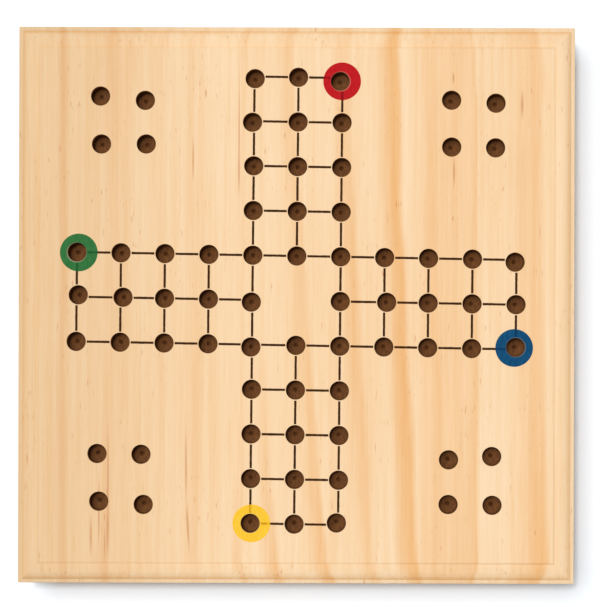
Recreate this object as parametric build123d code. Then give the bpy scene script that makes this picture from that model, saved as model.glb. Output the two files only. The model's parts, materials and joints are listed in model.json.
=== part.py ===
from build123d import *
import math
import os

# A hinged wooden box whose lid is a ludo board, drilled for pegs. Millimetres, +Z up.
# The origin is the middle of the underside. The closed box stands on the table with its
# hinges along the back, +Y, and its hook latch at the front, -Y.

# ---- Driving dimensions ----

# Playing board: one slab of pine with a moulded edge on all four sides
board_side = 204.0
board_thickness = 12.0
moulding_width = 7.5  # from the board's edge in to its flat field
field_step = 0.5  # the small upright step round the field
ovolo_drop = 1.7  # how far the rounded part falls
foot_step = 0.4  # the small upright at the foot of the rounded part
lip_width = 1.5  # the flat lip outside it
board_corner_radius = 1.0
board_underside_ease = 0.5

# Peg holes: a cross of three by eleven holes each way, and a home of four in each corner
hole_diameter = 7.0
hole_depth = 8.0  # flat-bottomed, below the field
pitch_across_grain = 16.1
pitch_along_grain = 16.37
arm_reach = 5  # holes from the middle to the end of an arm
home_reach = 4.0  # pitches from the middle to the middle of a home
pattern_shift_x = -0.05  # the pattern sits a little off the middle of the board
pattern_shift_y = 1.7
row_turn = -0.88  # degrees, of the rows across the grain
column_turn = -0.42  # degrees, of the columns along it
strays = {  # holes drilled by eye that missed their mark, and by how much across and along the grain
    (-5, 0): (0.6, 0.7),
    (-4, 0): (0.9, 0.1),
    (-1, -1): (-0.4, -0.9),
    (-1, 0): (-0.4, -0.8),
    (-1, 4): (-0.6, -0.4),
    (-1, 5): (0.2, -0.8),
    (1, -5): (-0.6, 0.7),
    (1, 5): (-0.8, -1.2),
    (2, 0): (0.9, 0.0),
    (5, -1): (0.0, 0.7),
    (5, 1): (-0.5, -0.8),
    (-4.5, -4.5): (0.8, -1.1),
    (-4.5, 3.5): (0.5, -1.2),
    (-3.5, -4.5): (1.0, -2.0),
    (-3.5, 3.5): (0.8, -0.9),
    (-3.5, 4.5): (0.3, -1.3),
    (3.5, 4.5): (-0.2, 0.8),
    (4.5, -3.5): (-0.3, 1.5),
}

# Case: two frames of finger-jointed rails, the tray below and the lid frame under the board
board_overhang = 4.5
rail_thickness = 9.0
tray_height = 20.0
lid_frame_height = 8.0
finger_height = 4.0
case_corner_radius = 2.0
tray_foot_ease = 0.8

# Plywood base, let into a rabbet all round, and two dividers halved across each other
base_thickness = 4.0
rabbet_width = 4.0
base_clearance = 0.1
divider_thickness = 3.0
divider_height = 14.0
divider_housing = 2.0  # how far each end goes into its rail
divider_clearance = 0.05

# Butt hinges
hinge_inset = 39.5  # from each end of the case to the middle of a hinge
leaf_width = 28.0
leaf_depth = 7.0  # let into the rail
leaf_thickness = 1.0
leaf_clearance = 0.1
barrel_radius = 2.0
barrel_wall_gap = 0.4  # between the barrel and the back of the case
knuckle_count = 3
knuckle_gap = 0.15
pin_radius = 1.0
pin_clearance = 0.05
pin_end = 0.3  # how far the pin stands out of its end knuckles

# Wood screws of the hinges
screw_radius = 1.2
screw_head_radius = 2.1
screw_length = 7.0
screw_slot_width = 0.5
screw_slot_depth = 0.4
screw_clearance = 0.05
screw_sink = 0.05  # the head lies this far below the leaf's face

# Hook latch on the front
hook_reach = 13.0  # from the hook's pivot to the stud that it holds
hook_swing = 42.0  # degrees, from hanging free to holding the stud
hook_thickness = 1.2
hook_eye_radius = 3.1
hook_arm_width = 3.4
hook_claw_width = 2.0
hook_tail_radius = 1.7
hook_tail_reach = 0.2  # from the claw's rim out to the middle of its tail
hook_play = 0.25  # round the stud, inside the claw
hook_wall_gap = 0.3  # between the hook and the front of the case
pivot_radius = 1.2
pivot_clearance = 0.08
pivot_end_play = 0.1
pivot_depth = 6.5  # in the wood
stud_radius = 1.2
stud_head_gap = 0.4  # between the hook and the stud's head
round_head_radius = 2.5
round_head_height = 1.2

# Playing pieces
peg_length = 27.0
peg_clearance = 0.25  # between a peg and the wall of its hole
peg_pitch = 13.0  # between pegs that lie side by side
peg_row_inset = 26.0  # from the tray's middle to the tips of a row
peg_seat_gap = 0.2
peg_turns = (3.0, -4.0, 2.0, -2.5)  # degrees, how each of the four in a row lies
colours = ("green", "red", "yellow", "blue")
die_side = 14.0
die_ease = 1.2
die_turn = 20.0
die_inset = 14.0  # from the tray's middle lines to the middle of the die

# ---- Sizes that follow ----

case_side = board_side - 2 * board_overhang
case_half = case_side / 2
inner_side = case_side - 2 * rail_thickness
board_bottom = tray_height + lid_frame_height
board_top = board_bottom + board_thickness
split = tray_height  # the plane where tray and lid meet
hole_radius = hole_diameter / 2
peg_radius = hole_radius - peg_clearance
base_side = inner_side + 2 * rabbet_width
axis_offset = barrel_wall_gap + barrel_radius  # of the hinge pin behind the case
axis_y = case_half + axis_offset
screw_y = axis_y - axis_offset - leaf_depth / 2
hinge_x = case_half - hinge_inset
screw_xs = [side * hinge_x + end * leaf_width / 4 for side in (-1, 1) for end in (-1, 1)]
pivot_z = split + lid_frame_height / 2
stud_offset = hook_reach * math.sin(math.radians(hook_swing))
stud_z = pivot_z - hook_reach * math.cos(math.radians(hook_swing))
pivot_x = -stud_offset / 2
stud_x = stud_offset / 2


def block(size_x, size_y, bottom, height):
    """A rectangular block about the Z axis, from bottom up."""
    return Pos(0, 0, bottom) * Box(
        size_x, size_y, height, align=(Align.CENTER, Align.CENTER, Align.MIN)
    )


def front_of_case(x, z):
    """A plane on the front of the case: its X runs right, its Y up, and its Z out of the wood."""
    return Plane(origin=(x, -case_half, z), x_dir=(1, 0, 0), z_dir=(0, -1, 0))


# ---- Playing board ----


def edge_cutter():
    """What the moulding cutter takes off the front edge of the board, over its whole length."""
    edge, spare = -board_side / 2, 2.0
    field = edge + moulding_width
    lip = edge + lip_width
    step_z = board_top - field_step
    foot_z = step_z - ovolo_drop
    lip_z = foot_z - foot_step
    with BuildSketch(Plane.YZ.offset(-board_side / 2 - spare)) as profile:
        with BuildLine():
            Polyline(
                (edge - spare, lip_z),
                (edge - spare, board_top + spare),
                (field, board_top + spare),
                (field, step_z),
            )
            TangentArc((field, step_z), (lip, foot_z), tangent=(-1, 0))
            Polyline((lip, foot_z), (lip, lip_z), (edge - spare, lip_z))
        make_face()
    return extrude(profile.sketch, board_side + 2 * spare)


def holes():
    """Every hole, as pitches across and along the grain from the middle of the pattern."""
    reach = range(-arm_reach, arm_reach + 1)
    cross = [
        (i, j) for i in reach for j in reach if min(abs(i), abs(j)) <= 1 and (i, j) != (0, 0)
    ]
    homes = [
        (side_i * home_reach + i, side_j * home_reach + j)
        for side_i in (-1, 1)
        for side_j in (-1, 1)
        for i in (-0.5, 0.5)
        for j in (-0.5, 0.5)
    ]
    return cross + homes


def hole_place(i, j):
    """Where a hole is drilled in the board, by its row and column in the pattern."""
    row, column = math.radians(row_turn), math.radians(column_turn)
    across, along = i * pitch_across_grain, j * pitch_along_grain
    stray_x, stray_y = strays.get((i, j), (0.0, 0.0))
    return Pos(
        pattern_shift_x + across * math.cos(row) - along * math.sin(column) + stray_x,
        pattern_shift_y + across * math.sin(row) + along * math.cos(column) + stray_y,
        board_top,
    )


def game_board():
    board = block(board_side, board_side, board_bottom, board_thickness)
    board = fillet(board.edges().filter_by(Axis.Z), board_corner_radius)
    board = chamfer(board.faces().sort_by(Axis.Z)[0].edges(), board_underside_ease)
    cutter = edge_cutter()
    for quarter in range(4):
        board -= Rot(0, 0, 90 * quarter) * cutter
    spare = 1.0
    hole = Pos(0, 0, (spare - hole_depth) / 2) * Cylinder(hole_radius, hole_depth + spare)
    return board - [hole_place(i, j) * hole for i, j in holes()]


# ---- Case frames ----


def corner_fingers(bottom, height, first):
    """Every second finger of the four corner joints, counted upwards from the first."""
    count = max(2, round(height / finger_height))
    rise = height / count
    corner = (case_side - rail_thickness) / 2
    return [
        Pos(x, y, 0) * block(rail_thickness, rail_thickness, bottom + k * rise, rise)
        for x in (-corner, corner)
        for y in (-corner, corner)
        for k in range(first, count, 2)
    ]


def rails(bottom, height, outline):
    """Front, back, left and right rail of one frame, finger-jointed to each other at the corners."""
    centre = (case_side - rail_thickness) / 2
    lengthwise = block(case_side, rail_thickness, bottom, height)
    crosswise = block(rail_thickness, case_side, bottom, height)
    for_sides = corner_fingers(bottom, height, 1)
    for_ends = corner_fingers(bottom, height, 0)
    return {
        "front": (Pos(0, -centre, 0) * lengthwise - for_sides) & outline,
        "back": (Pos(0, centre, 0) * lengthwise - for_sides) & outline,
        "left": (Pos(-centre, 0, 0) * crosswise - for_ends) & outline,
        "right": (Pos(centre, 0, 0) * crosswise - for_ends) & outline,
    }


def leaf_mortise(side, up):
    """The shallow recess for a hinge leaf in a back rail, and the pilot holes of its screws.

    up is 1 for the lid frame's rail and -1 for the tray's.
    """
    depth = leaf_depth + leaf_clearance
    recess = Box(leaf_width + 2 * leaf_clearance, depth, leaf_thickness)
    recess = Pos(side * hinge_x, case_half - depth / 2, split + up * leaf_thickness / 2) * recess
    drilled = screw_length + leaf_clearance
    hole = Cylinder(screw_radius + screw_clearance, drilled)
    holes = [
        Pos(x, screw_y, split + up * drilled / 2) * hole for x in screw_xs if x * side > 0
    ]
    return [recess] + holes


def front_pilot(x, z, radius):
    """The pilot hole of a pin or a screw in the front of the case."""
    hole = extrude(Circle(radius + screw_clearance), -pivot_depth - screw_clearance)
    return front_of_case(x, z).location * hole


def divider_housings():
    """The four grooves, open at the rim, that the ends of the dividers drop into."""
    width = divider_thickness + 2 * divider_clearance
    length = inner_side + 2 * divider_housing
    depth = tray_height - base_thickness
    return [
        block(length, width, base_thickness, depth),
        block(width, length, base_thickness, depth),
    ]


def tray_rails():
    outline = block(case_side, case_side, 0, tray_height)
    outline = fillet(outline.edges().filter_by(Axis.Z), case_corner_radius)
    outline = chamfer(outline.faces().sort_by(Axis.Z)[0].edges(), tray_foot_ease)
    pocket_side = base_side + 2 * base_clearance
    pocket = block(pocket_side, pocket_side, 0, base_thickness)
    frame = {
        name: rail - [pocket] - divider_housings()
        for name, rail in rails(0, tray_height, outline).items()
    }
    for side in (-1, 1):
        frame["back"] -= leaf_mortise(side, -1)
    frame["front"] -= front_pilot(stud_x, stud_z, stud_radius)
    return frame


def lid_rails():
    outline = block(case_side, case_side, split, lid_frame_height)
    outline = fillet(outline.edges().filter_by(Axis.Z), case_corner_radius)
    frame = rails(split, lid_frame_height, outline)
    for side in (-1, 1):
        frame["back"] -= leaf_mortise(side, 1)
    frame["front"] -= front_pilot(pivot_x, pivot_z, pivot_radius)
    return frame


# ---- Base and dividers ----


def base_panel():
    return block(base_side, base_side, 0, base_thickness)


def dividers():
    """Two strips of plywood, each slotted to half its height where they cross."""
    length = inner_side + 2 * (divider_housing - divider_clearance)
    strip = block(length, divider_thickness, base_thickness, divider_height)
    slot_width = divider_thickness + 2 * divider_clearance
    slot = block(slot_width, slot_width, base_thickness, divider_height / 2)
    upper_slot = Pos(0, 0, divider_height / 2) * slot
    return {"divider_lengthwise": strip - upper_slot, "divider_crosswise": Rot(0, 0, 90) * strip - slot}


# ---- Butt hinges ----


def knuckle_spans(first):
    """Middle and length of every second knuckle along the hinge, counted from the first."""
    step = (leaf_width + knuckle_gap) / knuckle_count
    start = -leaf_width / 2 + (step - knuckle_gap) / 2
    return [(start + k * step, step - knuckle_gap) for k in range(first, knuckle_count, 2)]


def tray_side_leaf(first):
    """A leaf that lies below the plane of its pin, with its barrel about the X axis."""
    plate_y = -axis_offset - leaf_depth / 2
    leaf = Pos(0, plate_y, -leaf_thickness / 2) * Box(leaf_width, leaf_depth, leaf_thickness)
    for x, length in knuckle_spans(first):
        strap = Box(length, axis_offset, leaf_thickness)
        leaf += Pos(x, -axis_offset / 2, -leaf_thickness / 2) * strap
        leaf += Pos(x, 0, 0) * Rot(0, 90, 0) * Cylinder(barrel_radius, length)
    leaf -= Rot(0, 90, 0) * Cylinder(pin_radius + pin_clearance, 2 * leaf_width)
    countersink = screw_shape(screw_clearance)
    return leaf - [Pos(x, plate_y, 0) * countersink for x in (-leaf_width / 4, leaf_width / 4)]


def screw_shape(extra):
    """A countersunk screw that points down from z = 0. Extra is added to its radii for a hole."""
    neck = screw_radius + extra
    head = screw_head_radius + extra
    with BuildSketch(Plane.XZ) as profile:
        with BuildLine():
            Polyline(
                (0, 0), (head, 0), (neck, neck - head), (neck, -screw_length), (0, -screw_length), close=True
            )
        make_face()
    return revolve(profile.sketch, Axis.Z)


def hinge_screws(up):
    """The four screws of one side of both hinges: up is 1 in the lid and -1 in the tray."""
    slot = Box(2 * screw_head_radius, screw_slot_width, 2 * screw_slot_depth)
    screw = Pos(0, 0, -screw_sink) * (screw_shape(0) - slot)
    if up > 0:
        screw = Rot(180, 0, 0) * screw
    return Compound(children=[Pos(x, screw_y, split) * screw for x in screw_xs])


def hinge_parts():
    parts = {}
    pin = Rot(0, 90, 0) * Cylinder(pin_radius, leaf_width + 2 * pin_end)
    lower_leaf = tray_side_leaf(0)
    upper_leaf = mirror(tray_side_leaf(1), Plane.XY)
    for name, side in (("left", -1), ("right", 1)):
        place = Pos(side * hinge_x, axis_y, split)
        parts[f"hinge_{name}_tray_leaf"] = place * lower_leaf
        parts[f"hinge_{name}_lid_leaf"] = place * upper_leaf
        parts[f"hinge_{name}_pin"] = place * pin
    parts["tray_hinge_screws"] = hinge_screws(-1)
    parts["lid_hinge_screws"] = hinge_screws(1)
    return parts


# ---- Hook latch ----


def round_head(shank_radius, stand_off):
    """A pin with a round head, from its end in the wood to its head, which stands off the wood."""
    shank = Pos(0, 0, -pivot_depth) * Cylinder(
        shank_radius, pivot_depth + stand_off, align=(Align.CENTER, Align.CENTER, Align.MIN)
    )
    head = Pos(0, 0, stand_off) * Cylinder(
        round_head_radius, round_head_height, align=(Align.CENTER, Align.CENTER, Align.MIN)
    )
    return shank + head


def latch_hook():
    """The hook as it hangs: an eye at the pivot, an arm, and a claw open towards the stud."""
    claw_radius = stud_radius + hook_play + hook_claw_width
    arm_length = hook_reach - stud_radius - hook_play
    tail = (claw_radius + hook_tail_reach) * math.sin(math.radians(45))
    outline = Circle(hook_eye_radius)
    outline += Pos(0, -arm_length / 2) * Rectangle(hook_arm_width, arm_length)
    outline += Pos(0, -hook_reach) * Circle(claw_radius)
    outline += Pos(-tail, -hook_reach - tail) * Circle(hook_tail_radius)
    throat = CenterArc((0, 0), hook_reach, -90, hook_swing)
    outline -= SlotArc(throat, 2 * (stud_radius + hook_play))
    outline -= Circle(pivot_radius + pivot_clearance)
    return Pos(0, 0, hook_wall_gap) * extrude(outline, hook_thickness)


def latch_parts():
    pivot_stand_off = hook_wall_gap + hook_thickness + pivot_end_play
    stud_stand_off = hook_wall_gap + hook_thickness + stud_head_gap
    at_pivot = front_of_case(pivot_x, pivot_z).location
    at_stud = front_of_case(stud_x, stud_z).location
    return {
        "latch_hook": at_pivot * latch_hook(),
        "hook_pivot_screw": at_pivot * round_head(pivot_radius, pivot_stand_off),
        "latch_stud": at_stud * round_head(stud_radius, stud_stand_off),
    }


# ---- Playing pieces ----


def lying_peg():
    """A dowel peg on its side along +Y, its lower end first, with its lowest line on z = 0."""
    return Pos(0, peg_length / 2, peg_radius) * Rot(90, 0, 0) * Cylinder(peg_radius, peg_length)


def pegs():
    """Four pegs of each colour, side by side in their own quarter of the tray."""
    middle = divider_thickness / 2 + (inner_side - divider_thickness) / 4
    peg = lying_peg()
    parts = {}
    for quarter, colour in enumerate(colours):
        for k, turn in enumerate(peg_turns):
            x = middle + (k - (len(peg_turns) - 1) / 2) * peg_pitch
            place = Pos(x, peg_row_inset, base_thickness + peg_seat_gap)
            parts[f"peg_{colour}_{k + 1}"] = Rot(0, 0, 90 * quarter) * place * Rot(0, 0, turn) * peg
    return parts


def die():
    cube = chamfer(block(die_side, die_side, base_thickness, die_side).edges(), die_ease)
    return Pos(die_inset, die_inset, 0) * Rot(0, 0, die_turn) * cube


# ---- Write one STEP file for each sub-part ----

subparts = {"game_board": game_board(), "base_panel": base_panel(), "die": die()}
for frame_name, frame in (("lid", lid_rails()), ("tray", tray_rails())):
    for rail_name, rail in frame.items():
        subparts[f"{frame_name}_rail_{rail_name}"] = rail
for group in (dividers(), hinge_parts(), latch_parts(), pegs()):
    subparts.update(group)

os.makedirs("parts", exist_ok=True)
for name, shape in subparts.items():
    export_step(shape, f"parts/{name}.step")
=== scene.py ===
import json
import math

import bmesh
import bpy
from mathutils import Matrix, Vector, noise


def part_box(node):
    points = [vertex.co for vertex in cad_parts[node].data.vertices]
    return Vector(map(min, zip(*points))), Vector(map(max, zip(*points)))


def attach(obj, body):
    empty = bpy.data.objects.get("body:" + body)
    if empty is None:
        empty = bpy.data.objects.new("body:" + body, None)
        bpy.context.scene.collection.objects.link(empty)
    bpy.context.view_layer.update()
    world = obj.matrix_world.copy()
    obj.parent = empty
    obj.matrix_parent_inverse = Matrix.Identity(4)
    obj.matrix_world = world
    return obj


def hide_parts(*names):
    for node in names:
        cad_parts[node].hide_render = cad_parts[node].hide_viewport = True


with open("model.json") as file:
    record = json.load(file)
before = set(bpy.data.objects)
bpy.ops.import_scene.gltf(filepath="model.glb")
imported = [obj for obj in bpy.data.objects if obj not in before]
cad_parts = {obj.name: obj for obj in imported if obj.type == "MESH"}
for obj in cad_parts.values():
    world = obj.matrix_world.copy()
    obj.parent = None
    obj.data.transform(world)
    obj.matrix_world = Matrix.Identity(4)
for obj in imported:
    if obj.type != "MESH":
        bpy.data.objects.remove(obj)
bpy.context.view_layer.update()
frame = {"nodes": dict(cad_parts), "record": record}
nodes = frame["nodes"]
groups_of_nodes = frame["record"]["behaviour"]["bodies"]
carried_by = {node: body for body, members in groups_of_nodes.items() for node in members}


# ---- Plywood base ----
# One square of birch three-ply, glued into the rabbet under the tray. Its face veneer runs from
# side to side, and its darker core shows where the sheet is cut.


def paint(red, green, blue):
    """A colour as it looks, 0 to 255, given in the linear light that shaders use."""
    shares = [value / 255 for value in (red, green, blue)]
    return [s / 12.92 if s <= 0.04045 else ((s + 0.055) / 1.055) ** 2.4 for s in shares] + [1.0]


def add(tree, kind, inputs=(), **settings):
    """A node in a tree, with its settings, and with values or other nodes' outputs on its inputs."""
    node = tree.nodes.new(kind)
    for name, value in settings.items():
        setattr(node, name, value)
    for name, value in dict(inputs).items():
        if isinstance(value, bpy.types.NodeSocket):
            tree.links.new(value, node.inputs[name])
        else:
            node.inputs[name].default_value = value
    return node


def maths(tree, operation, first, second=0.0, third=0.0):
    """A sum on numbers and on other nodes' outputs."""
    inputs = {0: first, 1: second, 2: third}
    return add(tree, "ShaderNodeMath", inputs, operation=operation).outputs[0]


def vectors(tree, operation, first, second=(0, 0, 0)):
    """A sum on places and directions. A length or a dot product comes out as a number."""
    result = add(tree, "ShaderNodeVectorMath", {0: first, 1: second}, operation=operation)
    return result.outputs["Value" if operation in ("LENGTH", "DOT_PRODUCT") else "Vector"]


def fade(tree, value, low, high, to_low=0.0, to_high=1.0):
    """A smooth change from to_low to to_high while value goes from low to high."""
    inputs = {"Value": value, "From Min": low, "From Max": high, "To Min": to_low, "To Max": to_high}
    return add(tree, "ShaderNodeMapRange", inputs, interpolation_type="SMOOTHSTEP").outputs[0]


def mix(tree, share, first, second, mode="MIX"):
    """Two colours, blended by a share from 0 to 1."""
    node = add(tree, "ShaderNodeMix", {0: share, 6: first, 7: second}, data_type="RGBA", blend_type=mode)
    return node.outputs[2]


def tint(tree, share, colour, shade):
    """A colour darkened by a shade, as much as share says."""
    return mix(tree, share, colour, shade, "MULTIPLY")


def parts_of(tree, place):
    """The X, Y and Z of a place, each as a number."""
    return add(tree, "ShaderNodeSeparateXYZ", {"Vector": place}).outputs


def clouds(tree, place, size, detail=2.0, roughness=0.5):
    """Noise whose patches are about as large as size, in metres along X, Y and Z."""
    scaled = vectors(tree, "MULTIPLY", place, [1 / s for s in size])
    inputs = {"Vector": scaled, "Scale": 1.0, "Detail": detail, "Roughness": roughness}
    return add(tree, "ShaderNodeTexNoise", inputs).outputs[0]


def new_group(name, inputs, outputs):
    """An empty shader group, with what it is given and what it puts out. Inputs are (name, kind)."""
    group = bpy.data.node_groups.new(name, "ShaderNodeTree")
    for socket, kind in inputs:
        group.interface.new_socket(socket, in_out="INPUT", socket_type="NodeSocket" + kind)
    for socket in outputs:
        group.interface.new_socket(socket, in_out="OUTPUT", socket_type="NodeSocketFloat")
    return group, group.nodes.new("NodeGroupInput").outputs, group.nodes.new("NodeGroupOutput").inputs


def wood_fibre():
    """Marks along the grain, which runs along Y: fibres, streaks, resin ducts and slow tone."""
    group, given, made = new_group("wood_fibre", [("Place", "Vector")], ("Fibre", "Streak", "Duct", "Tone"))
    place = given["Place"]
    specks = fade(group, clouds(group, place, (0.0008, 0.005, 0.0008), 1.0), 0.63, 0.79)
    patches = fade(group, clouds(group, place, (0.008, 0.03, 0.008), 1.0), 0.46, 0.62)
    marks = {
        "Fibre": fade(group, clouds(group, place, (0.0008, 0.02, 0.0008), 4.0, 0.7), 0.25, 0.75),
        "Streak": fade(group, clouds(group, place, (0.0022, 0.13, 0.0022), 3.0, 0.6), 0.3, 0.75),
        "Duct": maths(group, "MULTIPLY", specks, patches),
        "Tone": fade(group, clouds(group, place, (0.035, 0.16, 0.035), 1.0), 0.3, 0.7),
    }
    for name, value in marks.items():
        group.links.new(value, made[name])
    return group


ring_waver = 2.2  # how many years a ring may stray from its circle
late_rise = 2.6  # how steeply the late wood deepens over its year
late_end = 0.88  # the share of the year after which it stops


def growth_rings():
    """Late wood in rings round a pith line along Y: it deepens over each year and ends sharply."""
    inputs = [("Place", "Vector"), ("Pith", "Vector"), ("Width", "Float")]
    group, given, made = new_group("growth_rings", inputs, ("Late",))
    warp = clouds(group, given["Place"], (0.03, 0.25, 0.03), 2.0)
    from_pith = vectors(group, "SUBTRACT", given["Place"], given["Pith"])
    radius = vectors(group, "LENGTH", vectors(group, "MULTIPLY", from_pith, (1, 0, 1)))
    years = maths(group, "DIVIDE", radius, given["Width"])
    year = maths(group, "FRACT", maths(group, "MULTIPLY_ADD", warp, ring_waver, years))
    deepening = maths(group, "POWER", year, late_rise)
    ending = fade(group, year, late_end, 1.0, 1.0, 0.0)
    group.links.new(maths(group, "MULTIPLY", deepening, ending), made["Late"])
    return group


fibre_marks = wood_fibre()
ring_marks = growth_rings()
dry = 0.2  # the shine of bare sanded wood


def new_material(name, shine=0.5):
    """A material, with its tree, its shader and the coordinates of the piece."""
    material = bpy.data.materials.new(name)
    material.use_nodes = True
    tree = material.node_tree
    shader = tree.nodes["Principled BSDF"]
    shader.inputs["Specular IOR Level"].default_value = shine
    return material, tree, shader, add(tree, "ShaderNodeTexCoord").outputs


def give_surface(tree, shader, colour, roughness, relief, strength, depth):
    """Puts a colour, a roughness and a fine relief of some strength and depth on a shader."""
    tree.links.new(colour, shader.inputs["Base Color"])
    tree.links.new(roughness, shader.inputs["Roughness"])
    bump = add(tree, "ShaderNodeBump", {"Strength": strength, "Distance": depth, "Height": relief})
    tree.links.new(bump.outputs[0], shader.inputs["Normal"])


def along_grain(tree, place, grain, shift=(0, 0, 0)):
    """Coordinates whose Y runs along the grain of a piece, X or Y. Shift picks another tree."""
    turn = math.radians(90) if grain == "X" else 0.0
    inputs = {"Vector": place, "Rotation": (0, 0, turn), "Location": shift}
    return add(tree, "ShaderNodeMapping", inputs).outputs[0]


def late_wood(tree, grained, pith, year):
    """How much of the wood is late wood, round a pith line and with years of a given width."""
    rings = {"Place": grained, "Pith": pith, "Width": year}
    return add(tree, "ShaderNodeGroup", rings, node_tree=ring_marks).outputs[0]


streak_share = 0.6
end_grain_from = 0.36  # how squarely a face has to cut the fibres before it darkens
fibre_depth = 0.00006


def finish_wood(tree, shader, texture, grained, grain, late, pale, dark, ducts=0.7):
    """Sanded timber on a shader: early and late wood, fibres, streaks, ducts, darker end grain."""
    marks = add(tree, "ShaderNodeGroup", {"Place": grained}, node_tree=fibre_marks).outputs
    fibre = marks["Fibre"]
    streak = maths(tree, "MULTIPLY", marks["Streak"], streak_share)
    duct = maths(tree, "MULTIPLY", marks["Duct"], ducts)
    direction = (1, 0, 0) if grain == "X" else (0, 1, 0)
    facing = maths(tree, "ABSOLUTE", vectors(tree, "DOT_PRODUCT", texture["Normal"], direction))
    end_grain = fade(tree, facing, end_grain_from, 1.0)
    colour = mix(tree, late, pale, dark)
    colour = tint(tree, streak, colour, paint(249, 236, 217))
    colour = tint(tree, fibre, colour, paint(251, 247, 240))
    colour = tint(tree, marks["Tone"], colour, paint(253, 250, 246))
    colour = tint(tree, duct, colour, paint(212, 160, 110))
    colour = tint(tree, end_grain, colour, paint(240, 219, 190))
    roughness = maths(tree, "MULTIPLY_ADD", fibre, 0.12, fade(tree, late, 0.0, 1.0, 0.7, 0.58))
    relief = maths(tree, "SUBTRACT", fibre, duct)
    give_surface(tree, shader, colour, roughness, relief, strength=0.35, depth=fibre_depth)


birch_year = 0.004
birch_pith = (0.03, 0.0, -0.5)  # far off, because the veneer is peeled


def plywood(name, grain, core_axis, core_middle, core_half, shift):
    """Birch three-ply with a darker core, which lies core_half to either side of core_middle."""
    material, tree, shader, texture = new_material(name, dry)
    grained = along_grain(tree, texture["Object"], grain, shift)
    late = late_wood(tree, grained, birch_pith, birch_year)
    place = parts_of(tree, texture["Object"])[core_axis]
    depth = maths(tree, "ABSOLUTE", maths(tree, "SUBTRACT", place, core_middle))
    core = fade(tree, depth, core_half * 0.9, core_half, 1.0, 0.0)
    pale = mix(tree, core, paint(232, 203, 158), paint(186, 144, 96))
    dark = mix(tree, core, paint(220, 186, 138), paint(166, 124, 80))
    finish_wood(tree, shader, texture, grained, grain, late, pale, dark)
    return material


def dress(node, material):
    """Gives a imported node's own mesh a finish."""
    mesh = nodes[node].data
    mesh.materials.clear()
    mesh.materials.append(material)


base_low, base_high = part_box("base_panel")
base_middle = (base_low.z + base_high.z) / 2
base_core = 0.0007  # half the thickness of its core
dress("base_panel", plywood("base_ply", "X", "Z", base_middle, base_core, (0.31, 0.07, 0.02)))


# ---- Tray rails ----
# Four lengths of sanded pine, finger-jointed and glued at the corners. Each is cut from its own
# stick, so no two match, and every arris is taken off with a touch of sandpaper.


def into_scene(name, bm, crease=50):
    """An object from a bmesh, shaded smooth except over edges sharper than the crease, in degrees."""
    mesh = bpy.data.meshes.new(name)
    bm.to_mesh(mesh)
    bm.free()
    mesh.shade_smooth()
    mesh.set_sharp_from_angle(angle=math.radians(crease))
    piece = bpy.data.objects.new(name, mesh)
    bpy.context.scene.collection.objects.link(piece)
    piece.modifiers.new("even_shading", "WEIGHTED_NORMAL").keep_sharp = True
    return piece


def round_over(bm, edges, radius, segments, clamp=False):
    """Rounds edges over. A clamp keeps the rounding within what short edges have room for."""
    bmesh.ops.bevel(
        bm,
        geom=edges,
        offset=radius,
        affect="EDGES",
        segments=segments,
        profile=0.5,
        material=-1,
        clamp_overlap=clamp,
    )


same_place = 1e-6  # corners that are this close are one
flat_within = math.radians(0.5)
sharp_from = math.radians(30)


def eased_copy(node, name, ease, segments=2):
    """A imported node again, with its sharp edges rounded over, on the same body."""
    bm = bmesh.new()
    bm.from_mesh(nodes[node].data)
    bmesh.ops.remove_doubles(bm, verts=bm.verts, dist=same_place)
    bmesh.ops.dissolve_limit(bm, angle_limit=flat_within, verts=bm.verts, edges=bm.edges)
    sharp = [edge for edge in bm.edges if edge.calc_face_angle(0.0) > sharp_from]
    round_over(bm, sharp, ease, segments, clamp=True)
    piece = into_scene(name, bm)
    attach(piece, carried_by[node])
    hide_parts(node)
    return piece


pine_year = 0.0052
pine_pith = (-0.03, 0.0, -0.045)
pine_pale = paint(246, 212, 165)
pine_late = paint(226, 172, 112)


def pine(name, grain, shift):
    """Sanded pine whose grain runs along X or Y. Shift picks another stick."""
    material, tree, shader, texture = new_material(name, dry)
    grained = along_grain(tree, texture["Object"], grain, shift)
    late = late_wood(tree, grained, pine_pith, pine_year)
    finish_wood(tree, shader, texture, grained, grain, late, pine_pale, pine_late)
    return material


arris = 0.00025
# Each side's grain, and the stick that it is cut from
sticks = {"front": ("X", 0.11), "back": ("X", 0.23), "left": ("Y", 0.37), "right": ("Y", 0.52)}
for side, (grain, stick) in sticks.items():
    rail = eased_copy(f"tray_rail_{side}", f"tray_side_{side}", arris)
    shift = (stick, stick / 2, -stick)
    rail.data.materials.append(pine(f"tray_pine_{side}", grain, shift))


# ---- Dividers ----
# Two strips of three-ply, halved over each other and dropped into grooves in the rails. Their
# upper edges are sawn, so the darker core shows there as a line.

divider_core = 0.0005  # half the thickness of their core
dress("divider_lengthwise", plywood("lengthwise_ply", "X", "Y", 0.0, divider_core, (0.61, 0.2, 0.0)))
dress("divider_crosswise", plywood("crosswise_ply", "Y", "X", 0.0, divider_core, (0.77, 0.4, 0.0)))


# ---- Hinges ----
# Two small butt hinges, rolled from brass sheet round brass pins and let into the back rails, and
# the countersunk brass screws that hold their leaves.


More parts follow.
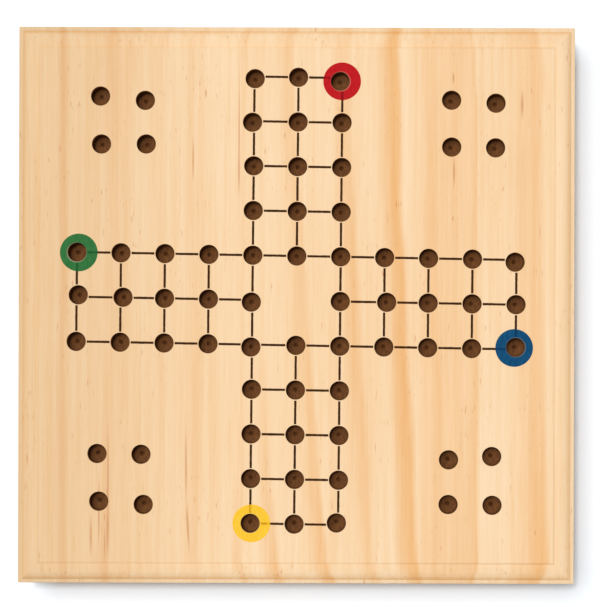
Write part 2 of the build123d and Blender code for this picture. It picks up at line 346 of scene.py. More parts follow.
def handled_brass():
    """Brass with duller patches where it has been handled, and fine rub marks along X."""
    material, tree, shader, texture = new_material("hinge_brass")
    patches = fade(tree, clouds(tree, texture["Object"], (0.004, 0.004, 0.004), 3.0, 0.6), 0.35, 0.7)
    rubs = clouds(tree, texture["Object"], (0.004, 0.0002, 0.0002), 2.0)
    colour = mix(tree, patches, paint(226, 184, 108), paint(190, 142, 72))
    roughness = maths(tree, "MULTIPLY_ADD", rubs, 0.18, fade(tree, patches, 0.0, 1.0, 0.16, 0.28))
    give_surface(tree, shader, colour, roughness, rubs, strength=0.2, depth=0.00002)
    shader.inputs["Metallic"].default_value = 1.0
    return material


leaf_edge = 0.00012
brass = handled_brass()
for hand in ("left", "right"):
    for leaf in ("tray_leaf", "lid_leaf"):
        plate = eased_copy(f"hinge_{hand}_{leaf}", f"{hand}_hinge_{leaf}", leaf_edge)
        plate.data.materials.append(brass)
    dress(f"hinge_{hand}_pin", brass)
for screws in ("tray_hinge_screws", "lid_hinge_screws"):
    dress(screws, brass)


# ---- Lid rails ----
# The shallow frame glued under the board. Its four rails are of the same pine as the tray's, with
# the same finger joints and eased arrises.

for side, (grain, stick) in sticks.items():
    rail = eased_copy(f"lid_rail_{side}", f"lid_side_{side}", arris)
    shift = (stick + 0.7, stick, stick / 3)
    rail.data.materials.append(pine(f"lid_pine_{side}", grain, shift))


# ---- Playing board ----
# One slab of flat-sawn pine with a moulded edge, glued down on the lid's rails. It is drilled with
# a flat bit, whose point leaves a pit in the floor of each hole, and the holes are stained brown.

board_low, board_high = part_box("game_board")
half = board_high.x
top = board_high.z
moulding_width = 0.0075
field_step = 0.0005
step_run = 0.0008  # the step is sanded to a slope
ovolo_drop = 0.0017
ovolo_sweep = math.radians(52)
ovolo_lines = 16
foot_step = 0.0004
lip_width = 0.0015
underside_ease = 0.0005
corner_radius = 0.001
hole_radius = 0.0035
hole_depth = 0.008
hole_sides = 40
cone_depth = 0.0005  # how far the hole's floor dips to its pit
floor_bays = 7  # from the wall to the pit, with a ridge or a groove of the tool after each
tool_ridge = 0.00004
tool_groove = 0.00003
pit_radius = 0.0009
pit_depth = 0.0012
pitch_across = 0.0161
pitch_along = 0.01637
pattern_shift = Vector((-0.00005, 0.0017, 0.0))
row_turn = math.radians(-0.88)
column_turn = math.radians(-0.42)
arm_reach = 5
home_reach = 4.0
soft = 0.0002  # the rounding of every arris
nearly = 1e-5  # a place that is this close is the place meant


def mark(i, j):
    """A mark of the pattern on the board, by its row and column from the middle."""
    across = Vector((math.cos(row_turn), math.sin(row_turn), 0.0)) * i * pitch_across
    along = Vector((-math.sin(column_turn), math.cos(column_turn), 0.0)) * j * pitch_along
    return pattern_shift + across + along + Vector((0, 0, top))


drilled_board = [vertex.co.copy() for vertex in nodes["game_board"].data.vertices]
hole_floors = [corner for corner in drilled_board if abs(corner.z - top + hole_depth) < nearly]


def drilled(i, j):
    """The middle of the hole drilled at a mark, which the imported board's hole floors show."""
    rim = [corner for corner in hole_floors if (corner - mark(i, j)).xy.length < pitch_across / 2]
    middle = [(min(axis) + max(axis)) / 2 for axis in zip(*rim)]
    return Vector((middle[0], middle[1], top))


def cross_marks():
    """The marks of the cross: three rows each way, without the one in the middle."""
    reach = range(-arm_reach, arm_reach + 1)
    return [(i, j) for i in reach for j in reach if min(abs(i), abs(j)) <= 1 and (i, j) != (0, 0)]


def home_marks():
    """The marks of the four homes, each two by two."""
    places = [side * home_reach + half_pitch for side in (-1, 1) for half_pitch in (-0.5, 0.5)]
    return [(i, j) for i in places for j in places]


def moulding_section():
    """How far in from the board's edge and how high each line of the moulding lies, going down."""
    # The slope of the step, rounded at its top and its foot
    step_foot = top - field_step
    section = [(moulding_width + 0.3 * step_run, top - 0.1 * field_step)]
    section += [(moulding_width - 0.3 * step_run, step_foot + 0.1 * field_step)]
    # The ovolo, part of an ellipse: level at the step and steepest at the foot
    start = moulding_width - step_run / 2
    across = start - lip_width
    for k in range(ovolo_lines + 1):
        angle = ovolo_sweep * k / ovolo_lines
        out = across * math.sin(angle) / math.sin(ovolo_sweep)
        down = ovolo_drop * (1 - math.cos(angle)) / (1 - math.cos(ovolo_sweep))
        section.append((start - out, step_foot - down))
    # The foot, the flat lip with its arris eased, and the side down to the underside
    lip = step_foot - ovolo_drop - foot_step
    section += [(lip_width, lip), (soft, lip), (0.3 * soft, lip - 0.3 * soft), (0.0, lip - soft)]
    section += [(0.0, board_low.z + underside_ease), (underside_ease, board_low.z)]
    return section


def corners_among(geometry):
    """The corners among what an operator gives back."""
    return [item for item in geometry if isinstance(item, bmesh.types.BMVert)]


def draw_on(bm, loop):
    """Extrudes a loop of edges where it lies, and gives the new loop and its corners."""
    drawn = bmesh.ops.extrude_edge_only(bm, edges=loop)["geom"]
    return [item for item in drawn if isinstance(item, bmesh.types.BMEdge)], corners_among(drawn)


def board_body():
    """The slab without its field: a square loop drawn down over the moulding to the underside."""
    bm = bmesh.new()
    reach = half - moulding_width - step_run / 2
    bmesh.ops.create_grid(bm, x_segments=1, y_segments=1, size=reach, matrix=Matrix.Translation((0, 0, top)))
    loop = bm.edges[:]
    bmesh.ops.delete(bm, geom=bm.faces[:], context="FACES_ONLY")
    for inset, height in moulding_section():
        loop, corners = draw_on(bm, loop)
        drop = Vector((0, 0, height - corners[0].co.z))
        grow = (half - inset) / abs(corners[0].co.x)
        bmesh.ops.scale(bm, vec=(grow, grow, 1.0), verts=corners)
        bmesh.ops.translate(bm, vec=drop, verts=corners)
    bmesh.ops.edgeloop_fill(bm, edges=loop)
    uprights = [
        edge
        for edge in bm.edges
        if all(abs(vert.co.x) > half - nearly and abs(vert.co.y) > half - nearly for vert in edge.verts)
        and (edge.verts[0].co - edge.verts[1].co).xy.length < nearly
    ]
    round_over(bm, uprights, corner_radius, 4)
    return bm


def spin_section(bm, section, sides, middle=Vector(), closed=False):
    """Spins a section, given as radii and heights, once round the upright line through middle."""
    corners = [bm.verts.new(middle + Vector((radius, 0.0, height))) for radius, height in section]
    following = corners[1:] + corners[:1] if closed else corners[1:]
    edges = [bm.edges.new(pair) for pair in zip(corners, following)]
    bmesh.ops.spin(
        bm,
        geom=corners + edges,
        cent=middle,
        axis=(0, 0, 1),
        angle=math.tau,
        steps=sides,
        use_merge=True,
    )


# The rounded edge of a hole: radius, and height from the face
hole_edge = [(hole_radius + soft, 0.0), (hole_radius + 0.3 * soft, -0.3 * soft), (hole_radius, -soft)]


def hole_cup():
    """The wall and floor of one hole, spun about Z: a dished floor with tool rings, and its pit."""
    wall = hole_edge + [(hole_radius, -hole_depth * share) for share in (0.3, 0.65, 0.97)]
    floor = [(hole_radius - soft, -hole_depth)]
    for k in range(1, floor_bays):
        share = k / floor_bays
        ridge = tool_ridge if k % 2 else -tool_groove
        radius = hole_radius + (pit_radius - hole_radius) * share
        floor.append((radius, ridge - hole_depth - cone_depth * share))
    pit_top = -hole_depth - cone_depth
    pit = [(pit_radius * (1 - share), pit_top - pit_depth * share) for share in (0.0, 0.35, 0.7, 1.0)]
    bm = bmesh.new()
    spin_section(bm, wall + floor + pit, hole_sides)
    bmesh.ops.remove_doubles(bm, verts=bm.verts, dist=same_place)
    for face in bm.faces:
        lowest = min(vert.co.z for vert in face.verts)
        face.material_index = 1 if lowest < -1.1 * soft else 0  # stained below its rounded edge
    cup = bpy.data.meshes.new("hole_cup")
    bm.to_mesh(cup)
    bm.free()
    return cup


bm = board_body()
cup = hole_cup()
for i, j in cross_marks() + home_marks():
    placed = cup.copy()
    placed.transform(Matrix.Translation(drilled(i, j)))
    bm.from_mesh(placed)
    bpy.data.meshes.remove(placed)
bpy.data.meshes.remove(cup)
rims = [edge for edge in bm.edges if edge.is_boundary]
bmesh.ops.triangle_fill(bm, use_beauty=True, use_dissolve=False, edges=rims, normal=(0, 0, 1))
bmesh.ops.recalc_face_normals(bm, faces=bm.faces)
board = into_scene("playing_board", bm, crease=25)

# The late wood of each year that shows in the face, in millimetres: where a band ends across the
# slab, at its back, middle and front, how strong it is at the same places, and how far it takes to
# deepen and to fade again.
year_bands = (
    ((-86.0, -85.6, -85.2), (0.46, 0.38, 0.38), 2.8, 2.6),
    ((-67.6, -66.6, -69.6), (0.16, 0.08, 0.32), 5.0, 2.2),
    ((-62.0, -64.0, -64.0), (0.18, 0.14, 0.12), 20.0, 4.0),
    ((-49.0, -50.0, -52.0), (0.14, 0.10, 0.14), 5.0, 2.5),
    ((-36.0, -35.0, -37.5), (0.20, 0.24, 0.20), 9.0, 4.0),
    ((-19.6, -19.8, -20.6), (0.34, 0.20, 0.38), 3.5, 1.6),
    ((-15.0, -12.5, -8.6), (0.04, 0.08, 0.62), 6.0, 2.5),
    ((-2.6, 2.8, 9.6), (0.52, 0.50, 0.72), 6.5, 2.2),
    ((17.2, 21.2, 26.4), (0.40, 0.66, 0.52), 6.0, 3.4),
    ((35.2, 38.6, 42.8), (1.05, 0.98, 0.92), 7.5, 3.0),
    ((47.6, 50.6, 51.8), (0.16, 0.26, 0.14), 4.0, 2.5),
    ((48.0, 49.0, 50.0), (0.26, 0.26, 0.26), 9.0, 16.0),
    ((65.2, 66.0, 66.2), (0.34, 0.34, 0.34), 27.0, 1.0),
    ((65.2, 66.0, 66.2), (0.14, 0.20, 0.28), 3.0, 1.0),
    ((88.2, 89.4, 91.2), (0.50, 0.58, 0.86), 14.0, 2.6),
)
heart = 0.055  # where across the slab the years stand upright
year_waver = 0.004
outer_places = 0.088  # how far behind and in front of the middle the other two places lie


def year_band():
    """One year's late wood: it deepens up to a line that bows along the slab, then fades out."""
    sockets = [("Across", "Float"), ("Along", "Vector"), ("Ends", "Vector"), ("Strengths", "Vector")]
    group, given, made = new_group("year_band", sockets + [("Rise", "Float"), ("Fall", "Float")], ("Late",))
    end = vectors(group, "DOT_PRODUCT", given["Along"], given["Ends"])
    strength = vectors(group, "DOT_PRODUCT", given["Along"], given["Strengths"])
    beyond = maths(group, "SUBTRACT", given["Across"], end)
    deepening = fade(group, beyond, maths(group, "MULTIPLY", given["Rise"], -1.0), 0.0)
    fading = fade(group, beyond, 0.0, given["Fall"], 1.0, 0.0)
    late = maths(group, "MULTIPLY", strength, maths(group, "MULTIPLY", deepening, fading))
    group.links.new(late, made["Late"])
    return group


def slab_years(tree, place):
    """Late wood of the slab. Its years waver a little, and slope through the thickness."""
    parts = parts_of(tree, place)
    wander = maths(tree, "SUBTRACT", clouds(tree, place, (0.02, 0.05, 0.02), 2.0), 0.5)
    across = maths(tree, "MULTIPLY_ADD", wander, year_waver, parts["X"])
    # The slope is one way over most of the slab, the other way beyond the heart, none at the left edge
    left_of_heart = fade(tree, parts["X"], -0.085, -0.045, 0.0, -1.0)
    right_of_heart = fade(tree, parts["X"], heart - 0.03, heart + 0.03, 0.0, 2.2)
    slope = maths(tree, "ADD", left_of_heart, right_of_heart)
    across = maths(tree, "MULTIPLY_ADD", slope, maths(tree, "SUBTRACT", top, parts["Z"]), across)
    # A curve through three places, back, middle and front, as the share that each of them has
    along = maths(tree, "DIVIDE", parts["Y"], outer_places)
    squared = maths(tree, "MULTIPLY", along, along)
    back = maths(tree, "MULTIPLY", maths(tree, "ADD", squared, along), 0.5)
    front = maths(tree, "MULTIPLY", maths(tree, "SUBTRACT", squared, along), 0.5)
    shares = {"X": back, "Y": maths(tree, "SUBTRACT", 1.0, squared), "Z": front}
    shares = add(tree, "ShaderNodeCombineXYZ", shares).outputs[0]
    band = year_band()
    late = 0.0
    for ends, strengths, rise, fall in year_bands:
        inputs = {"Across": across, "Along": shares, "Ends": [end / 1000 for end in ends]}
        inputs |= {"Strengths": strengths, "Rise": rise / 1000, "Fall": fall / 1000}
        shown = add(tree, "ShaderNodeGroup", inputs, node_tree=band)
        late = maths(tree, "ADD", late, shown.outputs[0])
    return late


# Streaks of resin: middle across and along, half length and half width in metres, and lean
streaks = (
    (-0.0380, 0.0533, 0.0110, 0.0005, 0.0),
    (-0.0334, 0.0776, 0.0025, 0.0006, 0.0),
    (-0.0212, 0.0640, 0.0340, 0.0004, 0.0),
    (-0.0212, 0.0490, 0.0120, 0.0006, 0.0),
    (-0.0403, -0.0590, 0.0190, 0.0006, 0.0),
    (-0.0396, -0.0810, 0.0130, 0.0007, -0.06),
    (-0.0689, -0.0650, 0.0300, 0.0005, 0.0),
    (-0.0689, -0.0820, 0.0140, 0.0007, 0.0),
    (-0.0751, -0.0845, 0.0100, 0.0006, 0.0),
    (-0.0722, -0.0760, 0.0180, 0.0005, 0.0),
    (-0.0700, -0.0873, 0.0080, 0.0004, 0.0),
    (0.0576, 0.0490, 0.0080, 0.0006, 0.0),
    (0.0825, 0.0736, 0.0070, 0.0008, 0.0),
    (0.0573, 0.0834, 0.0030, 0.0006, 0.0),
)


def resin_streak():
    """A long oval that is 1 at its middle and 0 at its rim. Crosswise and lengthwise point along it,
    and are as long as 1 over its half width and 1 over its half length."""
    sockets = [(name, "Vector") for name in ("Place", "Middle", "Crosswise", "Lengthwise")]
    group, given, made = new_group("resin_streak", sockets, ("Mark",))
    away = vectors(group, "SUBTRACT", given["Place"], given["Middle"])
    shares = {
        "X": vectors(group, "DOT_PRODUCT", away, given["Crosswise"]),
        "Y": vectors(group, "DOT_PRODUCT", away, given["Lengthwise"]),
    }
    reach = vectors(group, "LENGTH", add(group, "ShaderNodeCombineXYZ", shares).outputs[0])
    group.links.new(fade(group, reach, 0.1, 1.0, 1.0, 0.0), made["Mark"])
    return group


resin_strength = 0.6
# A painted shade that greys the flat of the lip
lip_shade_tint = paint(245, 250, 254)
lip_shade_fade = 0.0002  # the width over which the wear of the lip begins and ends
unshaded_rim = 0.0001
# A painted shade that darkens the creases at the foot of the ovolo and about the step
crease_shade_tint = paint(252, 243, 230)
crease_shade_places = ((lip_width, 1.0), (0.007, 0.35))  # how far in from the edge, and how strong
crease_shade_reach = 0.0014  # from such a place inwards
crease_shade_fade = 0.0003


def board_pine():
    """The slab's pine with resin, and painted shade: darker to the left, on the lip and in the creases."""
    material, tree, shader, texture = new_material("board_pine", dry)
    place = texture["Object"]
    late = slab_years(tree, place)
    # Painted shade darkens the slab towards its left edge
    side = fade(tree, parts_of(tree, place)["X"], -0.1, -0.015)
    pale = mix(tree, side, paint(242, 210, 169), paint(255, 225, 187))
    dark = mix(tree, side, paint(229, 173, 118), paint(245, 194, 135))
    streak_group = resin_streak()
    resin = 0.0
    for x, y, half_length, half_width, lean in streaks:
        inputs = {"Place": place, "Middle": (x, y, 0.0), "Lengthwise": (0.0, 1 / half_length, 0.0)}
        inputs["Crosswise"] = (1 / half_width, -lean / half_width, 0.0)
        mark = add(tree, "ShaderNodeGroup", inputs, node_tree=streak_group).outputs[0]
        resin = maths(tree, "MAXIMUM", resin, mark)
    resin = maths(tree, "MULTIPLY", resin, resin_strength)
    pale = mix(tree, resin, pale, paint(206, 138, 84))
    dark = mix(tree, resin, dark, paint(198, 126, 74))
    sides = parts_of(tree, vectors(tree, "ABSOLUTE", place))
    outward = maths(tree, "MAXIMUM", sides["X"], sides["Y"])
    # Painted shade greys the flat of the lip
    begun = fade(tree, outward, half - lip_width - lip_shade_fade, half - lip_width)
    ended = fade(tree, outward, half - unshaded_rim - lip_shade_fade, half - unshaded_rim, 1.0, 0.0)
    painted_lip_shade = maths(tree, "MULTIPLY", begun, ended)
    # Painted shade darkens the crease at the foot of the ovolo, and a little about the step
    painted_crease_shade = 0.0
    for inset, share in crease_shade_places:
        corner = half - inset
        nearing = fade(tree, outward, corner - crease_shade_reach, corner - crease_shade_fade, 0.0, share)
        leaving = fade(tree, outward, corner, corner + crease_shade_fade, 1.0, 0.0)
        painted_crease_shade = maths(tree, "MULTIPLY_ADD", nearing, leaving, painted_crease_shade)
    pale, dark = [tint(tree, painted_lip_shade, colour, lip_shade_tint) for colour in (pale, dark)]
    pale, dark = [tint(tree, painted_crease_shade, colour, crease_shade_tint) for colour in (pale, dark)]
    finish_wood(tree, shader, texture, place, "Y", late, pale, dark, ducts=0.5)
    return material


def hole_stain():
    """Brown stain over the drilled wood: paler up the wall, with painted shade darkening the pit."""
    material, tree, shader, texture = new_material("hole_stain", shine=0.15)
    patches = clouds(tree, texture["Object"], (0.0008, 0.0016, 0.0016), 3.0, 0.6)
    colour = mix(tree, fade(tree, patches, 0.3, 0.7), paint(95, 57, 27), paint(120, 76, 38))
    height = parts_of(tree, texture["Object"])["Z"]
    # The stain is paler towards the top of the wall
    paler_up_wall = fade(tree, height, top - hole_depth, top - hole_depth / 2, 0.0, 0.75)
    colour = mix(tree, paler_up_wall, colour, paint(190, 138, 84))
    # Painted shade darkens the pit
    floor = top - hole_depth - cone_depth
    painted_pit_shade = fade(tree, height, floor - 0.7 * pit_depth, floor + 0.15 * cone_depth, 0.6, 0.0)
    colour = mix(tree, painted_pit_shade, colour, paint(70, 38, 14))
    roughness = fade(tree, patches, 0.3, 0.7, 0.7, 0.85)
    give_surface(tree, shader, colour, roughness, patches, strength=0.3, depth=0.0001)
    return material


board.data.materials.append(board_pine())
board.data.materials.append(hole_stain())
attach(board, "lid")
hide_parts("game_board")


# ---- Printed lines ----
# Dark brown ink, screen-printed between neighbouring holes of the cross. Each line stops just
# short of the holes, and its edges are a little ragged where the ink has crept along the grain.

line_width = 0.00086
line_gap = 0.00035  # from a hole's wall to the end of a line
ink_height = 0.00003
ink_sunk = 0.00002
line_cuts = 9
raggedness = 0.00008
fray = 1500  # how fast the ragged edge wanders, per metre


def ink_strip(bm, start, end, width, height):
    """A flat bar of ink from start to end on the board, with ragged long edges."""
    run = end - start
    middle = (start + end) / 2 + Vector((0, 0, (height - ink_sunk) / 2))
    turn = Matrix.Rotation(math.atan2(run.y, run.x), 4, "Z")
    size = Matrix.Diagonal((run.length, width, height + ink_sunk, 1.0))
    bar = bmesh.ops.create_cube(bm, size=1.0, matrix=Matrix.Translation(middle) @ turn @ size)["verts"]
    edges = {edge for vert in bar for edge in vert.link_edges}
    longways = [edge for edge in edges if edge.calc_length() > 2 * width]
    cut = bmesh.ops.subdivide_edges(bm, edges=longways, cuts=line_cuts, use_grid_fill=True)
    side = Vector((-run.y, run.x, 0)).normalized()
    for vert in corners_among(cut["geom_inner"]):
        vert.co += side * noise.noise(Vector((vert.co.x, vert.co.y, 0)) * fray) * raggedness


def leave_hole(i, j, heading, gap):
    """The point where a line, drawn through a mark along a heading, clears the hole there."""
    off = drilled(i, j) - mark(i, j)
    ahead = off.dot(heading)
    beside = (off - heading * ahead).length
    return mark(i, j) + heading * (ahead + math.sqrt((hole_radius + gap) ** 2 - beside**2))


marks = set(cross_marks())
bm = bmesh.new()
for i, j in sorted(marks):
    for next_i, next_j in ((i + 1, j), (i, j + 1)):
        if (next_i, next_j) in marks:
            heading = (mark(next_i, next_j) - mark(i, j)).normalized()
            start = leave_hole(i, j, heading, line_gap)
            ink_strip(bm, start, leave_hole(next_i, next_j, -heading, line_gap), line_width, ink_height)
lines = into_scene("printed_lines", bm)


def ink(name, dark, light):
    """Screen-print ink, nearly without shine: the grain under it shows through a little."""
    material, tree, shader, texture = new_material(name, shine=0.06)
    grain = add(tree, "ShaderNodeGroup", {"Place": texture["Object"]}, node_tree=fibre_marks).outputs
    blots = fade(tree, clouds(tree, texture["Object"], (0.0006, 0.0022, 0.0006), 2.0), 0.35, 0.7)
    share = maths(tree, "MULTIPLY_ADD", grain["Fibre"], 0.35, maths(tree, "MULTIPLY", blots, 0.65))
    colour = mix(tree, share, dark, light)
    roughness = fade(tree, blots, 0.0, 1.0, 0.6, 0.75)
    give_surface(tree, shader, colour, roughness, grain["Fibre"], strength=0.2, depth=0.00003)
    return material


lines.data.materials.append(ink("line_ink", paint(48, 24, 4), paint(78, 46, 12)))
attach(lines, "lid")


# ---- Start rings ----
# A ring of coloured ink round the first hole of each arm, printed after the lines, which show
# through it as a darker shade. Each colour came out a little off its mark, and a thin film of it
# has crept over the rounded edge of the hole.

ring_outer = 0.0069
ring_inner = 0.0037
ring_height = 0.00005
ring_sides = 96
ridge_height = ring_height * 1.3  # where a ring lies over a line
ridge_inset = 0.0001  # from the ring's outer edge to the end of a ridge
film = ring_height / 2  # the thickness of the ink that has crept
crept = 0.00015  # how far it reaches out over the face from the rounded edge
# The mark, and in millimetres how far the ring lies off it and its own hole off the drilled one
starts = {
    "green": ((-5, 1), (0.63, -0.16), (-0.12, -0.12)),
    "red": ((1, 5), (-0.15, -1.19), (0.12, -0.02)),
    "blue": ((5, -1), (-0.54, 0.51), (0.06, 0.02)),
    "yellow": ((-1, -5), (0.42, 0.01), (0.0, 0.0)),
}
# Each ink where it is full, thin, over a line, and crept on to the edge of the hole
ring_inks = {
    "green": (paint(38, 106, 52), paint(62, 122, 68), paint(26, 80, 40), paint(144, 146, 116)),
    "red": (paint(186, 12, 22), paint(198, 34, 38), paint(118, 8, 18), paint(206, 108, 94)),
    "blue": (paint(2, 64, 104), paint(24, 86, 124), paint(4, 50, 86), paint(100, 112, 120)),
    "yellow": (paint(252, 196, 36), paint(255, 208, 72), paint(196, 140, 28), paint(236, 196, 108)),
}


def set_finish(faces, number):
    """Gives faces one of their piece's finishes, counted from 0."""
    for face in faces:
        face.material_index = number


def crept_ink(bm, middle):
    """A film of ink over the rounded edge of a hole: a thin closed band, spun about the hole."""
    under = [(hole_radius + soft + crept, 0.0)] + hole_edge
    section = [(radius, height - ink_sunk) for radius, height in under]
    section += [(radius - film, height + film) for radius, height in reversed(under)]
    spin_section(bm, section, hole_sides, middle, closed=True)


for colour, ((i, j), off_mark, off_hole) in starts.items():
    bm = bmesh.new()
    middle = mark(i, j) + Vector((*off_mark, 0.0)) / 1000
    hole = drilled(i, j) + Vector((*off_hole, 0.0)) / 1000
    loops = []
    for radius, centre in ((ring_outer, middle), (ring_inner, hole)):
        at = Matrix.Translation(centre - Vector((0, 0, ink_sunk)))
        circle = bmesh.ops.create_circle(bm, cap_ends=False, radius=radius, segments=ring_sides, matrix=at)
        loops += {edge for vert in circle["verts"] for edge in vert.link_edges}
    bmesh.ops.bridge_loops(bm, edges=loops)
    raised = bmesh.ops.extrude_face_region(bm, geom=bm.faces[:], use_keep_orig=True)["geom"]
    bmesh.ops.translate(bm, vec=(0, 0, ring_height + ink_sunk), verts=corners_among(raised))
    for next_mark in ((i - int(math.copysign(1, i)), j), (i, j - int(math.copysign(1, j)))):
        heading = (mark(*next_mark) - mark(i, j)).normalized()
        start = leave_hole(i, j, heading, line_gap)
        reach = (middle - start).dot(heading) + ring_outer - ridge_inset
        before = set(bm.faces)
        ink_strip(bm, start, start + heading * reach, line_width, ridge_height)
        set_finish(set(bm.faces) - before, 1)
    before = set(bm.faces)
    crept_ink(bm, drilled(i, j))
    set_finish(set(bm.faces) - before, 2)
    bmesh.ops.recalc_face_normals(bm, faces=bm.faces)
    ring = into_scene(f"start_ring_{colour}", bm)
    full, thin, over_line, on_edge = ring_inks[colour]
    ring.data.materials.append(ink(f"{colour}_ink", full, thin))
    ring.data.materials.append(ink(f"{colour}_ink_over_line", over_line, full))
    ring.data.materials.append(ink(f"{colour}_ink_on_edge", on_edge, on_edge))
    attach(ring, "lid")


# ---- Hook latch ----
# A flat stamped brass hook that hangs from a slotted round-head screw in the lid and turns down
# over a round-head stud in the tray.

hook_edge = 0.0002
hook = eased_copy("latch_hook", "brass_hook", hook_edge)
hook.data.materials.append(brass)
shank_radius = 0.0012
head_height = 0.0012
head_radius = 0.0025
head_rim = 0.12  # the share of the head's height at which its dome starts
head_under = 0.96  # the width of the head's underside, as a share of the dome's
head_lines = 8
pin_sides = 48
slot_half = 0.0003
slot_depth = 0.0006
slot_turn = math.radians(25)


def round_head(node, name, slotted):
    """A turned pin whose head is domed, lying along Y with its head towards the front."""
    low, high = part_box(node)
    middle = (low + high) / 2
    length = high.y - low.y
    outline = [(0.0, 0.0), (shank_radius, 0.0), (shank_radius, length - head_height)]
    outline += [(head_radius * head_under, length - head_height)]
    for k in range(head_lines + 1):
        angle = math.radians(90) * k / head_lines
        rise = head_height * (head_rim + (1 - head_rim) * math.sin(angle))
        outline.append((head_radius * math.cos(angle), length - head_height + rise))
    bm = bmesh.new()
    spin_section(bm, outline, pin_sides)
    bmesh.ops.remove_doubles(bm, verts=bm.verts, dist=same_place)
    if slotted:
        for side in (-1, 1):
            cut = bm.verts[:] + bm.edges[:] + bm.faces[:]
            bmesh.ops.bisect_plane(bm, geom=cut, plane_co=(side * slot_half, 0, 0), plane_no=(1, 0, 0))
        floor = length - slot_depth
        band = [
            face
            for face in bm.faces
            if abs(face.calc_center_median().x) < slot_half and face.calc_center_median().z > floor
        ]
        sunk = bmesh.ops.extrude_face_region(bm, geom=band)["geom"]
        bmesh.ops.delete(bm, geom=band, context="FACES")
        for vert in corners_among(sunk):
            vert.co.z = min(vert.co.z, floor)
    bmesh.ops.recalc_face_normals(bm, faces=bm.faces)
    turn = Matrix.Rotation(math.radians(90), 4, "X") @ Matrix.Rotation(slot_turn, 4, "Z")
    bmesh.ops.transform(bm, matrix=Matrix.Translation((middle.x, high.y, middle.z)) @ turn, verts=bm.verts)
    pin = into_scene(name, bm)
    pin.data.materials.append(brass)
    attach(pin, carried_by[node])
    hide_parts(node)


round_head("hook_pivot_screw", "hook_screw", True)
round_head("latch_stud", "hook_stud", False)


# ---- Pegs ----
# Sixteen hardwood dowels, four of each colour, rounded at both ends and dipped in glossy paint.
# Each four lie loose side by side in a compartment of the tray.


def enamel(name, colour, worn):
    """Dipped paint: nearly even, a little thinner in patches, with the dip's faint sags."""
    material, tree, shader, texture = new_material(name)
    thin = fade(tree, clouds(tree, texture["Object"], (0.003, 0.003, 0.003), 3.0, 0.6), 0.45, 0.8)
    sags = clouds(tree, texture["Object"], (0.005, 0.005, 0.002), 2.0)
    roughness = fade(tree, sags, 0.3, 0.7, 0.24, 0.36)
    coat = mix(tree, thin, colour, worn)
    give_surface(tree, shader, coat, roughness, sags, strength=0.25, depth=0.0001)
    return material


peg_round = 0.0011
peg_colours = {
    "green": (paint(44, 112, 58), paint(58, 126, 72)),
    "red": (paint(190, 26, 32), paint(204, 48, 48)),
    "yellow": (paint(246, 190, 44), paint(250, 204, 82)),
    "blue": (paint(18, 76, 122), paint(38, 96, 140)),
}
for colour, (full, worn) in peg_colours.items():
    finish = enamel(f"{colour}_enamel", full, worn)
    for number in range(1, 5):
        peg = eased_copy(f"peg_{colour}_{number}", f"{colour}_peg_{number}", peg_round, segments=4)
        peg.data.materials.append(finish)


# ---- Die ----
# A beech cube with rounded edges, its spots drilled shallow and painted black. It lies loose in
# the tray, near where the dividers cross.

die_low, die_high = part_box("die")
die_side = die_high.z - die_low.z
die_turn = math.radians(20)
die_round = 0.0016
spot_radius = 0.0012
spot_depth = 0.0006
spot_pitch = 0.0034
spot_sides = 28
spot_lines = 5
spot_layouts = {
    1: [(0, 0)],
    2: [(-1, -1), (1, 1)],
    3: [(-1, -1), (0, 0), (1, 1)],
    4: [(-1, -1), (-1, 1), (1, -1), (1, 1)],
    5: [(-1, -1), (-1, 1), (0, 0), (1, -1), (1, 1)],
    6: [(-1, -1), (-1, 0), (-1, 1), (1, -1), (1, 0), (1, 1)],
}
# The number on each face, and the turn that brings the top face round to it
die_faces = {
    5: Matrix.Identity(4),
    2: Matrix.Rotation(math.radians(180), 4, "X"),
    1: Matrix.Rotation(math.radians(90), 4, "X"),
    6: Matrix.Rotation(math.radians(-90), 4, "X"),
    3: Matrix.Rotation(math.radians(90), 4, "Y"),
    4: Matrix.Rotation(math.radians(-90), 4, "Y"),
}
bm = bmesh.new()
bmesh.ops.create_cube(bm, size=die_side)
round_over(bm, bm.edges[:], die_round, 5)
flats = [face for face in bm.faces if face.calc_area() > (die_side / 2) ** 2]
bmesh.ops.delete(bm, geom=flats, context="FACES_ONLY")
for number, turn in die_faces.items():
    outward = (turn @ Vector((0, 0, 1, 0))).to_3d()
    rims = [
        edge
        for edge in bm.edges
        if edge.is_boundary and all(vert.co.dot(outward) > die_side / 2 - nearly for vert in edge.verts)
    ]
    for across, up in spot_layouts[number]:
        at = turn @ Matrix.Translation((across * spot_pitch, up * spot_pitch, die_side / 2))
        circle = bmesh.ops.create_circle(
            bm, cap_ends=False, radius=spot_radius, segments=spot_sides, matrix=at
        )
        loop = list({edge for vert in circle["verts"] for edge in vert.link_edges})
        rims += loop
        middle = (at @ Vector((0, 0, 0, 1))).to_3d()
        for k in range(1, spot_lines + 1):
            loop, corners = draw_on(bm, loop)
            angle = math.radians(90) * k / (spot_lines + 1)
            last = math.radians(90) * (k - 1) / (spot_lines + 1)
            shrink = math.cos(angle) / math.cos(last)
            bmesh.ops.scale(bm, vec=(shrink,) * 3, space=Matrix.Translation(-middle), verts=corners)
            sink = -outward * spot_depth * math.sin(angle)
            shift = sink - (sum((vert.co for vert in corners), Vector()) / len(corners) - middle)
            bmesh.ops.translate(bm, vec=shift, verts=corners)
            set_finish({face for vert in corners for face in vert.link_faces}, 1)
        set_finish(bmesh.ops.edgeloop_fill(bm, edges=loop)["faces"], 1)
    bmesh.ops.triangle_fill(bm, use_beauty=True, use_dissolve=False, edges=rims, normal=outward)
bmesh.ops.recalc_face_normals(bm, faces=bm.faces)
die_place = Matrix.Translation((die_low + die_high) / 2) @ Matrix.Rotation(die_turn, 4, "Z")
bmesh.ops.transform(bm, matrix=die_place, verts=bm.verts)
die = into_scene("wooden_die", bm)

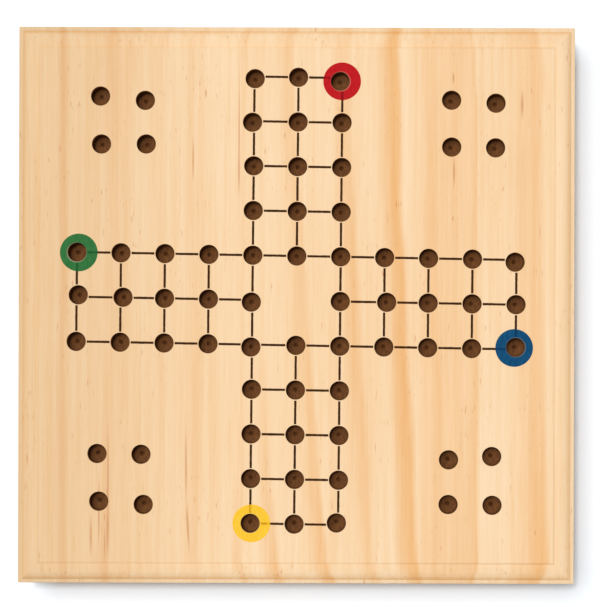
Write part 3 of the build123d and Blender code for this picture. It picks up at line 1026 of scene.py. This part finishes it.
beech_year = 0.0022
beech_pith = (0.02, 0.0, -0.05)
material, tree, shader, texture = new_material("beech", dry)
grained = along_grain(tree, texture["Object"], "X", (0.9, 0.3, 0.1))
late = late_wood(tree, grained, beech_pith, beech_year)
finish_wood(tree, shader, texture, grained, "X", late, paint(238, 208, 166), paint(216, 176, 128))
die.data.materials.append(material)

material, tree, shader, texture = new_material("spot_paint")
flecks = clouds(tree, texture["Object"], (0.0006, 0.0006, 0.0006), 2.0)
tree.links.new(mix(tree, flecks, paint(16, 14, 13), paint(34, 30, 28)), shader.inputs["Base Color"])
tree.links.new(fade(tree, flecks, 0.3, 0.7, 0.3, 0.5), shader.inputs["Roughness"])
die.data.materials.append(material)
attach(die, "die")
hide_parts("die")


# ---- Table top, light and camera ----
# A white table that runs out of sight under an even white surround. Two lamps stand high up at the
# back left: a wide soft box, and a small one that draws the near edge of the shadow.


def seen_directly(tree):
    """1 for what the camera sees, also by way of metal or glass, and 0 for the light that it sheds."""
    path = add(tree, "ShaderNodeLightPath").outputs
    mirrored = maths(tree, "MAXIMUM", path["Is Glossy Ray"], path["Is Transmission Ray"])
    return maths(tree, "MAXIMUM", path["Is Camera Ray"], mirrored)


floor_reach = 20.0
table_white = 0.55  # the share of light that the table sends back
table_look = (1.075, 1.13, 1.185)  # what the camera sees of it: white, but for the shadow
bm = bmesh.new()
bmesh.ops.create_grid(bm, x_segments=1, y_segments=1, size=floor_reach)
table = into_scene("table_top", bm)
material, tree, shader, _ = new_material("white_table", shine=0.0)
shed = (table_white, table_white, table_white, 1.0)
shown = (*table_look, 1.0)
tree.links.new(mix(tree, seen_directly(tree), shed, shown), shader.inputs["Base Color"])
shader.inputs["Roughness"].default_value = 1.0
table.data.materials.append(material)


def far_lamp(name, share, leaning, spread):
    """A lamp far off: its share of the light, the direction that it comes from and its width."""
    lamp = bpy.data.lights.new(name, "SUN")
    towards = Vector(leaning).normalized()
    lamp.energy = math.pi * share / towards.z
    lamp.angle = math.radians(spread)
    lamp_object = bpy.data.objects.new(name, lamp)
    lamp_object.rotation_euler = towards.to_track_quat("Z", "Y").to_euler()
    bpy.context.scene.collection.objects.link(lamp_object)


# With the surround, the shares add up to 1, where a colour shows as it is written
surround = 0.22
far_lamp("soft_box", 0.48, (-0.18, 0.17, 1.0), 24)
far_lamp("small_lamp", 0.30, (-0.10, 0.115, 1.0), 5)

world = bpy.data.worlds.new("studio")
world.use_nodes = True
bpy.context.scene.world = world
tree = world.node_tree
back = tree.nodes["Background"]
back.inputs["Color"].default_value = (1, 1, 1, 1)
tree.links.new(fade(tree, seen_directly(tree), 0.0, 1.0, surround, 1.0), back.inputs["Strength"])

# The camera looks straight down. Its lens is chosen for how many pixels wide the board shows.
picture_height = 607  # in pixels
board_pixels = 556.9
camera_aside = (3.53, 1.85)  # in pixels, to the right of the board's middle and up from it
camera_roll = math.radians(0.16)
camera_height = 1.3  # above the board
sensor = 0.036
scale = board_pixels / (2 * half)  # pixels to the metre
camera = bpy.data.cameras.new("camera")
camera.sensor_width = sensor * 1000
camera.lens = scale * camera_height * sensor / picture_height * 1000
camera_object = bpy.data.objects.new("camera", camera)
camera_object.location = (camera_aside[0] / scale, camera_aside[1] / scale, top + camera_height)
camera_object.rotation_euler = (0, 0, camera_roll)
camera.clip_end = floor_reach
bpy.context.scene.collection.objects.link(camera_object)
bpy.context.scene.camera = camera_object
bpy.context.scene.view_settings.view_transform = "Standard"
